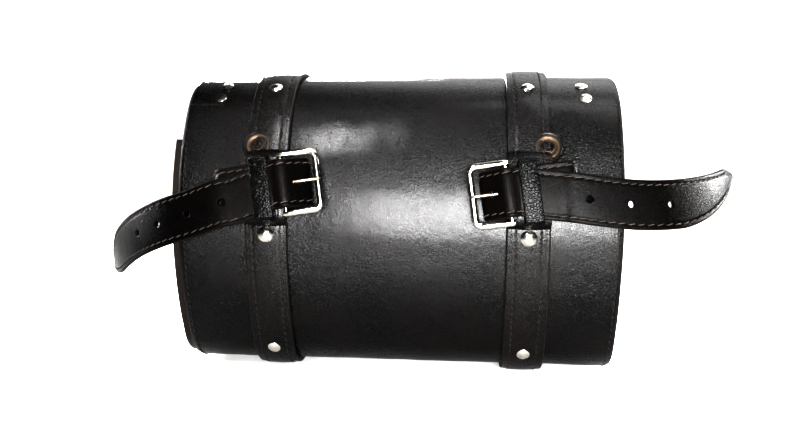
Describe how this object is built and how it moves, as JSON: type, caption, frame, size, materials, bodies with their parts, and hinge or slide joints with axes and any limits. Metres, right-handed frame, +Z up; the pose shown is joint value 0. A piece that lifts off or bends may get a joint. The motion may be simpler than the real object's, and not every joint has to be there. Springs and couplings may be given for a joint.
{
  "type": "motorcycle saddlebag",
  "caption": "Barrel-shaped leather tool bag with a flap lid, wrap-round straps, buckled mounting belts on its back and closing tabs on its front.",
  "frame": {"origin": "on the standing surface, under the middle of the whole object's box", "axes": "+X along the bag, to the pictured right; -Y out of the back, the pictured mounting side; +Y out of the front; +Z up"},
  "size_m": [0.3769, 0.1356, 0.1721],
  "materials": {
    "black_leather": "black full-grain leather, semi-gloss",
    "strap_leather": "black strap leather, waxed edges",
    "belt_leather": "black belt leather with stitched edges",
    "keeper_leather": "glossy pebble-grained black leather",
    "raw_edge": "brown cut edge of the leather",
    "thread": "waxed grey-brown thread",
    "chrome": "polished chrome",
    "rivet_nickel": "polished nickel",
    "eyelet_brass": "rolled brass, coppery",
    "liner_board": "black stiffener board"
  },
  "bodies": {
    "bag": {"body_wrap": "black_leather", "stiffener_liner": "liner_board", "end_panel_left": "black_leather", "end_panel_right": "black_leather", "back_strap_left": "strap_leather", "back_strap_right": "strap_leather", "body_rivets_left": "rivet_nickel", "body_rivets_right": "rivet_nickel", "eyelet_left": "eyelet_brass", "eyelet_right": "eyelet_brass", "tab_catch_left": "rivet_nickel", "tab_catch_right": "rivet_nickel"},
    "lid": {"lid": "black_leather", "lid_ear_left": "black_leather", "lid_ear_right": "black_leather", "ear_rivets_left": "rivet_nickel", "ear_rivets_right": "rivet_nickel", "lid_strap_left": "strap_leather", "lid_strap_right": "strap_leather", "lid_rivets_left": "rivet_nickel", "lid_rivets_right": "rivet_nickel"},
    "belt_left": {"mounting_belt_left": "belt_leather"},
    "belt_frame_left": {"belt_buckle_left": "chrome"},
    "belt_prong_left": {"belt_prong_left": "chrome"},
    "belt_keeper_left": {"belt_keeper_left": "keeper_leather"},
    "belt_tail_left": {"belt_tail_left": "belt_leather"},
    "tab_left": {"closing_tab_left": "strap_leather", "strap_end_left": "strap_leather", "tab_magnet_left": "rivet_nickel"},
    "tab_frame_left": {"tab_buckle_left": "chrome"},
    "tab_prong_left": {"tab_prong_left": "chrome"},
    "tab_keeper_left": {"tab_keeper_left": "keeper_leather"},
    "belt_right": {"mounting_belt_right": "belt_leather"},
    "belt_frame_right": {"belt_buckle_right": "chrome"},
    "belt_prong_right": {"belt_prong_right": "chrome"},
    "belt_keeper_right": {"belt_keeper_right": "keeper_leather"},
    "belt_tail_right": {"belt_tail_right": "belt_leather"},
    "tab_right": {"closing_tab_right": "strap_leather", "strap_end_right": "strap_leather", "tab_magnet_right": "rivet_nickel"},
    "tab_frame_right": {"tab_buckle_right": "chrome"},
    "tab_prong_right": {"tab_prong_right": "chrome"},
    "tab_keeper_right": {"tab_keeper_right": "keeper_leather"}
  },
  "joints": [
    {"name": "lid_hinge", "type": "hinge", "parent": "bag", "child": "lid", "pos_m": [0, -0.04102, 0.137], "axis": [1, 0, 0], "range_deg": [0, 95]},
    {"name": "belt_slide_left", "type": "slide", "parent": "bag", "child": "belt_left", "axis": [1, 0, 0], "range_m": [-0.004, 0.004]},
    {"name": "belt_frame_lift_left", "type": "hinge", "parent": "belt_left", "child": "belt_frame_left", "pos_m": [-0.05869, -0.06042, 0.10882], "axis": [0.1478, -0.1632, -0.9755], "range_deg": [0, 6]},
    {"name": "belt_prong_lift_left", "type": "hinge", "parent": "belt_frame_left", "child": "belt_prong_left", "pos_m": [-0.05869, -0.06042, 0.10882], "axis": [0.1478, -0.1632, -0.9755], "range_deg": [0, 8]},
    {"name": "belt_keeper_slide_left", "type": "slide", "parent": "belt_left", "child": "belt_keeper_left", "axis": [-0.989, -0.0244, -0.1458], "range_m": [-0.001, 0.002]},
    {"name": "belt_tail_bend_left", "type": "hinge", "parent": "belt_left", "child": "belt_tail_left", "pos_m": [-0.08025, -0.0652, 0.10635], "axis": [-0.1478, 0.1632, 0.9755], "range_deg": [0, 60]},
    {"name": "tab_lift_left", "type": "hinge", "parent": "lid", "child": "tab_left", "pos_m": [-0.07, 0.05934, 0.10444], "axis": [1, 0, 0], "range_deg": [0, 50]},
    {"name": "tab_frame_lift_left", "type": "hinge", "parent": "tab_left", "child": "tab_frame_left", "pos_m": [-0.07, 0.06097, 0.08368], "axis": [-1, 0, 0], "range_deg": [0, 6]},
    {"name": "tab_prong_lift_left", "type": "hinge", "parent": "tab_frame_left", "child": "tab_prong_left", "pos_m": [-0.07, 0.06097, 0.08368], "axis": [-1, 0, 0], "range_deg": [0, 8]},
    {"name": "tab_keeper_slide_left", "type": "slide", "parent": "tab_left", "child": "tab_keeper_left", "axis": [0, 0.1169, 0.9931], "range_m": [-0.0025, 0.0025]},
    {"name": "belt_slide_right", "type": "slide", "parent": "bag", "child": "belt_right", "axis": [1, 0, 0], "range_m": [-0.004, 0.004]},
    {"name": "belt_frame_lift_right", "type": "hinge", "parent": "belt_right", "child": "belt_frame_right", "pos_m": [0.05868, -0.06097, 0.1055], "axis": [-0.1392, 0.1551, 0.978], "range_deg": [0, 6]},
    {"name": "belt_prong_lift_right", "type": "hinge", "parent": "belt_frame_right", "child": "belt_prong_right", "pos_m": [0.05868, -0.06097, 0.1055], "axis": [-0.1392, 0.1551, 0.978], "range_deg": [0, 8]},
    {"name": "belt_keeper_slide_right", "type": "slide", "parent": "belt_right", "child": "belt_keeper_right", "axis": [0.9903, 0.0218, 0.1375], "range_m": [-0.001, 0.002]},
    {"name": "belt_tail_bend_right", "type": "hinge", "parent": "belt_right", "child": "belt_tail_right", "pos_m": [0.08027, -0.06474, 0.10917], "axis": [0.1392, -0.1551, -0.978], "range_deg": [0, 60]},
    {"name": "tab_lift_right", "type": "hinge", "parent": "lid", "child": "tab_right", "pos_m": [0.07, 0.05934, 0.10444], "axis": [1, 0, 0], "range_deg": [0, 50]},
    {"name": "tab_frame_lift_right", "type": "hinge", "parent": "tab_right", "child": "tab_frame_right", "pos_m": [0.07, 0.06097, 0.08368], "axis": [-1, 0, 0], "range_deg": [0, 6]},
    {"name": "tab_prong_lift_right", "type": "hinge", "parent": "tab_frame_right", "child": "tab_prong_right", "pos_m": [0.07, 0.06097, 0.08368], "axis": [-1, 0, 0], "range_deg": [0, 8]},
    {"name": "tab_keeper_slide_right", "type": "slide", "parent": "tab_right", "child": "tab_keeper_right", "axis": [0, 0.1169, 0.9931], "range_m": [-0.0025, 0.0025]}
  ]
}
